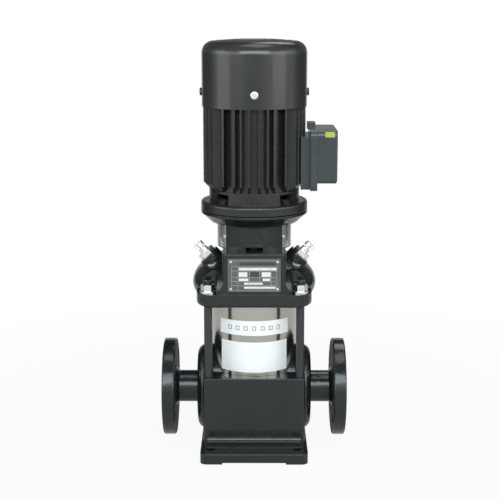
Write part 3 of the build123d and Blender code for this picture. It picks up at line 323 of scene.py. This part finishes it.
casting = enamel("casting_enamel", enamel_black, 0.17, 0.00035, 0.00003, 0.0012)
off_centre = abs(casting.along("X"))
in_ring = casting.distance((0, 1, 1), (0, 0, port_height)) < sealing_radius
bare = (off_centre > turned_face) * in_ring
casting.set("Base Color", casting.mix(bare, casting.fed("Base Color"), bare_iron))
casting.set("Metallic", bare)
outward = abs(casting.number(casting.add("NewGeometry", output="Normal"), "X"))
as_cast = (outward > square_on) * (off_centre < flange_rim) * (off_centre > behind_flange)
casting.set("Roughness", casting.fed("Roughness") + as_cast * skin_roughness)
dress(casting.material, "pump_base", "pump_head")

# ---------------------------------------------------------------- sleeve
# Drawn stainless tube, satin finished round the body. It is clamped between the foot and the head
# and seals on a black rubber gasket at each end.


def satin_steel(name, colour, roughness, stretch, depth=0.00004):
    """Stainless steel with a fine grain along one direction, its depth in metres."""
    steel = Shader(name, Metallic=1.0)
    streak = steel.noise(34, detail=3, roughness=0.7, stretch=stretch)
    steel.set("Base Color",
              steel.mix(streak, [0.86 * c for c in colour], [1.1 * c for c in colour]))
    steel.set("Roughness", streak * 0.16 + roughness - 0.08)
    steel.bump(streak, depth)
    return steel


round_the_body = (1, 1, 55)
sleeve_steel = satin_steel("sleeve_steel", (0.49, 0.48, 0.425), 0.18, round_the_body, 0.00002)
dress(sleeve_steel.material, "outer_sleeve")

rubber = Shader("gasket_rubber", Roughness=0.7)
rubber.tone((0.012, 0.012, 0.012), (0.03, 0.03, 0.03), 300)
rubber.bump(rubber.noise(1500), 0.00008)
dress(rubber.material, "sleeve_gaskets")

# ---------------------------------------------------------------- labels
# A tall white film and a narrow one above it, stuck round the front of the sleeve. The narrow one
# carries seven small grey marks in a row.
film = Shader("label_film")
film.tone((0.92, 0.93, 0.90), (0.96, 0.965, 0.94), 40, detail=3)
film.set("Roughness", film.noise(60) * 0.1 + 0.38)
film.bump(film.noise(120), 0.00012)
dress(film.material, "sleeve_labels")

ink = Shader("label_ink", Roughness=0.5)
ink.tone((0.22, 0.23, 0.24), (0.42, 0.43, 0.44), 900)
label_low, label_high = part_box("sleeve_labels")
band_height = 0.0225
mark_count = 7
mark_pitch = 0.0128
mark_width = 0.0062
mark_height = 0.0068
mark_line = 0.0013
ink_lift = 0.00001
ink_thickness = 0.00006


def curved_slab(bm, radius, middle, width, low, high, thickness, steps=4):
    """Thin closed slab round a cylinder; middle is the angle of its centre from the front."""
    rows = []
    for step in range(steps + 1):
        angle = middle + (step / steps - 0.5) * width / radius
        rows.append([bm.verts.new((depth * math.sin(angle), -depth * math.cos(angle), level))
                     for depth in (radius, radius + thickness) for level in (low, high)])
    for first, second in zip(rows, rows[1:]):
        for a, b in ((0, 1), (1, 3), (3, 2), (2, 0)):
            bm.faces.new((first[a], first[b], second[b], second[a]))
    for row in (rows[0], rows[-1]):
        bm.faces.new((row[0], row[1], row[3], row[2]))


def band_marks():
    """Square outlines in a row on the narrow label."""
    bm = bmesh.new()
    radius = ink_lift - label_low.y
    middle_height = label_high.z - band_height / 2
    low, high = middle_height - mark_height / 2, middle_height + mark_height / 2
    side = (mark_width - mark_line) / 2 / radius
    for k in range(mark_count):
        angle = (k - (mark_count - 1) / 2) * mark_pitch / radius
        for end in (low, high - mark_line):
            curved_slab(bm, radius, angle, mark_width, end, end + mark_line, ink_thickness)
        for shift in (-side, side):
            curved_slab(bm, radius, angle + shift, mark_line, low + mark_line,
                        high - mark_line, ink_thickness, steps=1)
    return bm


marks = new_piece("band_marks", band_marks(), ink.material, "housing")

# ---------------------------------------------------------------- stay bolts
# Four black-oxide steel studs, screwed into the foot, hold the head down on the sleeve. Each has a
# rolled thread on its upper end, under a bright zinc-plated washer and nut.
thread_pitch = 0.00175
thread_depth = 0.0009
thread_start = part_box("stay_nuts")[0].z - 0.004
stud = Shader("stud_black")
stud.tone((0.015, 0.016, 0.0165), (0.03, 0.031, 0.032), 60, detail=3, stretch=(1, 1, 0.2))
stud.set("Roughness", stud.noise(90) * 0.12 + 0.3)
up_the_stud = stud.along("Z")
turn = stud.add("Math", {"operation": "PINGPONG"}, up_the_stud, thread_pitch / 2)
stud.bump(turn * (2 / thread_pitch) * (up_the_stud > thread_start), thread_depth)
dress(stud.material, "stay_bolts", "drain_plug", "flange_bolts")


def zinc_plate(name):
    """Bright zinc plating, slightly clouded."""
    plating = Shader(name, Metallic=1.0)
    plating.tone((0.66, 0.68, 0.67), (0.84, 0.86, 0.85), 150, detail=4)
    plating.set("Roughness", plating.noise(200) * 0.2 + 0.2)
    return plating


zinc = zinc_plate("bright_zinc")
zinc.bump(zinc.noise(700), 0.00006, 0.0004)
dress(zinc.material, "stay_nuts", "stay_washers", "guard_screws", "nameplate_rivets",
      "terminal_screws")

# ---------------------------------------------------------------- coupling guards
# Two bent sheets of light stainless steel, brushed upright. Each closes one window of the stool
# over the coupling and is screwed to the stool's sides.
guard_steel = satin_steel("guard_steel", (0.54, 0.535, 0.49), 0.30, (30, 30, 0.6))
dress(guard_steel.material, "coupling_guard_left", "coupling_guard_right")

# ---------------------------------------------------------------- nameplate
# Etched aluminium plate, riveted at its corners to the block on the head. Its ground is grey, and
# the bars, boxes and rules are left blank.
plate_ground = Shader("plate_ground", Metallic=0.6)
plate_ground.tone((0.085, 0.09, 0.08), (0.16, 0.165, 0.15), 60, detail=3, stretch=(0.3, 1, 4))
plate_ground.set("Roughness", plate_ground.noise(200) * 0.15 + 0.35)
dress(plate_ground.material, "nameplate")

plate_bright = Shader("plate_bright", Metallic=0.5, Roughness=0.35)
plate_bright.tone((0.74, 0.75, 0.71), (0.90, 0.91, 0.87), 90)
plate_dark = Shader("plate_dark", Metallic=0.2, Roughness=0.4)
plate_dark.tone((0.03, 0.034, 0.045), (0.06, 0.066, 0.08), 120)
plate_rule = Shader("plate_rule", Metallic=0.5, Roughness=0.35)
plate_rule.tone((0.34, 0.345, 0.32), (0.46, 0.465, 0.43), 90)

plate_low, plate_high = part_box("nameplate")
print_thickness = 0.00008
bright_bars = (               # left, right, bottom and top, as shares of the plate
    (0.21, 0.93, 0.655, 0.735),
    (0.21, 0.37, 0.46, 0.60), (0.64, 0.81, 0.46, 0.60),
    (0.21, 0.39, 0.335, 0.41), (0.66, 0.80, 0.335, 0.41),
    (0.31, 0.66, 0.225, 0.285),
    (0.31, 0.905, 0.10, 0.165),
)
dark_bars = ((0.23, 0.90, 0.80, 0.90), (0.42, 0.59, 0.455, 0.605))
flat_rule, upright_rule = 0.011, 0.007
rule_lines = (
    *((0.07, 0.93, level, level + flat_rule)
      for level in (0.045, 0.195, 0.31, 0.435, 0.63, 0.76, 0.935)),
    *((place, place + upright_rule, 0.045, 0.77)
      for place in (0.07, 0.19, 0.41, 0.60, 0.82, 0.923)),
)


def flat_slab(bm, x_range, z_range, front, thickness):
    """Thin closed slab on a face that looks to the front."""
    (left, right), (low, high) = x_range, z_range
    corners = ((left, low), (right, low), (right, high), (left, high))
    back = [bm.verts.new((x, front, z)) for x, z in corners]
    face = [bm.verts.new((x, front - thickness, z)) for x, z in corners]
    bm.faces.new(back)
    bm.faces.new(face[::-1])
    for k in range(4):
        bm.faces.new((back[k], face[k], face[(k + 1) % 4], back[(k + 1) % 4]))


def plate_bars(bars):
    """Bars of print on the nameplate."""
    bm = bmesh.new()
    width, height = plate_high.x - plate_low.x, plate_high.z - plate_low.z
    for left, right, bottom, top in bars:
        flat_slab(bm, (plate_low.x + left * width, plate_low.x + right * width),
                  (plate_low.z + bottom * height, plate_low.z + top * height),
                  plate_low.y, print_thickness)
    return bm


for name, bars, material in (("plate_bright_bars", bright_bars, plate_bright),
                             ("plate_dark_bars", dark_bars, plate_dark),
                             ("plate_rules", rule_lines, plate_rule)):
    new_piece(name, plate_bars(bars), material.material, "housing")

# ---------------------------------------------------------------- priming plugs and vents
# Bright nickel-plated brass plugs, screwed into the sloping bosses of the head. Each carries a
# vent screw with a small fluted knob.
nickel = Shader("bright_nickel", Metallic=1.0)
nickel.tone((0.78, 0.77, 0.73), (0.92, 0.91, 0.88), 120, detail=3)
nickel.set("Roughness", nickel.noise(200) * 0.15 + 0.2)
nickel.bump(nickel.noise(600), 0.00006, 0.0004)
dress(nickel.material, *[part + side for part in ("priming_plug_", "vent_spindle_", "vent_knob_")
                         for side in ("left", "right")])

# ---------------------------------------------------------------- turning parts and wet stack
# Ground steel shafts joined by a split black coupling, pressed stainless stages stacked on the
# shaft, bronze and carbon bearings: seen only when the sleeve or the guards are off.
ground_steel = satin_steel("ground_steel", (0.55, 0.55, 0.56), 0.28, (1, 1, 40))
dress(ground_steel.material, "pump_shaft", "shaft_end_nut", "coupling_screws", "coupling_pin",
      "motor_shaft", "bearing_inner_rings", "bearing_outer_rings", "seal_collar", "seal_gland")
stage_steel = satin_steel("stage_steel", (0.58, 0.575, 0.565), 0.4, (6, 6, 6))
dress(stage_steel.material, "inlet_bowl", "outlet_bowl", "shaft_spacers",
      *[part + str(k) for part in ("stage_chamber_", "impeller_") for k in (1, 2, 3)])
coupling_black = enamel("coupling_black", (0.03, 0.03, 0.032), 0.4, 0.0001, 0.00002, 0.0006)
dress(coupling_black.material, "coupling_half_front", "coupling_half_rear")
bronze = satin_steel("bearing_bronze", (0.50, 0.33, 0.13), 0.35, (1, 1, 20))
dress(bronze.material, "bottom_bush")
carbon = Shader("seal_carbon", Roughness=0.35)
carbon.tone((0.02, 0.02, 0.022), (0.05, 0.05, 0.052), 400)
dress(carbon.material, "seal_still_ring", "seal_turning_ring", "neck_rings")

# ---------------------------------------------------------------- motor
# Finned aluminium frame between two end shields, all in satin black enamel, over a core of punched
# sheet with varnished copper windings.
motor_black = (0.0155, 0.0155, 0.0165)
motor_enamel = enamel("motor_enamel", motor_black, 0.26, 0.0001, 0.00002, 0.0007)
dress(motor_enamel.material, "motor_frame", "drive_end_shield", "fan_end_shield")

core_sheet = satin_steel("core_sheet", (0.28, 0.28, 0.30), 0.45, (1, 1, 120))
dress(core_sheet.material, "rotor_core", "stator_core")
copper = Shader("winding_copper", Metallic=0.8, Coat_Weight=0.6)
wire = copper.noise(60, detail=3, stretch=(1, 1, 9))
copper.set("Base Color", copper.mix(wire, (0.34, 0.11, 0.04), (0.62, 0.24, 0.1)))
copper.bump(wire, 0.0006)
dress(copper.material, "stator_windings")

# ---------------------------------------------------------------- fan and cowl
# Pressed sheet cowl with rings of slots in its crown, over a moulded radial fan. Four zinc-plated
# screws hold it. The two at the sides are coloured near black as painted shade, for the dark
# reflection at the cowl's edges.
cowl_enamel = enamel("cowl_enamel", (0.031, 0.0315, 0.0300), 0.18, 0.00004, 0.00001, 0.0006)
dress(cowl_enamel.material, "fan_cowl")

# Screws farther from the middle than this get near black and no metal: painted shade, not paint.
bright_screw_reach = 0.05
screw_zinc = zinc_plate("cowl_screw_zinc")
painted_shade_on_side_screws = abs(screw_zinc.along("X")) > bright_screw_reach
screw_zinc.set("Metallic", 1 - painted_shade_on_side_screws)
screw_zinc.set("Base Color",
               screw_zinc.mix(painted_shade_on_side_screws, screw_zinc.fed("Base Color"), (0.03, 0.03, 0.03)))
dress(screw_zinc.material, "cowl_screws")


def moulded_plastic(name, roughness, low, high, edge=0.0):
    """Filled plastic straight from the mould, with a fine grain."""
    plastic = Shader(name, Roughness=roughness)
    plastic.tone(low, high, 80)
    plastic.bump(plastic.noise(900), 0.00008, edge)
    return plastic


fan_plastic = moulded_plastic("fan_plastic", 0.45, (0.018, 0.018, 0.018), (0.035, 0.035, 0.035))
dress(fan_plastic.material, "cooling_fan")

# ---------------------------------------------------------------- terminal box
# Cast box and deep cover in dark green-grey enamel, with a cable gland at the back and a blank
# yellow-green inspection sticker on the front top edge of the cover.
box_enamel = enamel("box_enamel", (0.040, 0.052, 0.050), 0.26, 0.0001, 0.00002, 0.0008)
dress(box_enamel.material, "terminal_box", "terminal_cover")
gland_plastic = moulded_plastic("gland_plastic", 0.5, (0.025, 0.027, 0.027),
                                (0.045, 0.048, 0.047), 0.0005)
dress(gland_plastic.material, "cable_gland")
board = Shader("terminal_board", Roughness=0.5)
board.tone((0.10, 0.05, 0.025), (0.19, 0.10, 0.05), 120, detail=3)
dress(board.material, "terminal_board")

sticker = Shader("sticker_film", Roughness=0.4, Coat_Weight=0.2)
sticker.tone((0.36, 0.42, 0.05), (0.45, 0.51, 0.09), 120)
cover_low, cover_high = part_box("terminal_cover")
sticker_left, sticker_right = cover_low.x + 0.011, cover_low.x + 0.025
sticker_top = cover_high.z - 0.0025
sticker_height = 0.008
sticker_piece = bmesh.new()
flat_slab(sticker_piece, (sticker_left, sticker_right),
          (sticker_top - sticker_height, sticker_top), cover_low.y, print_thickness)
new_piece("cover_sticker", sticker_piece, sticker.material, "housing")
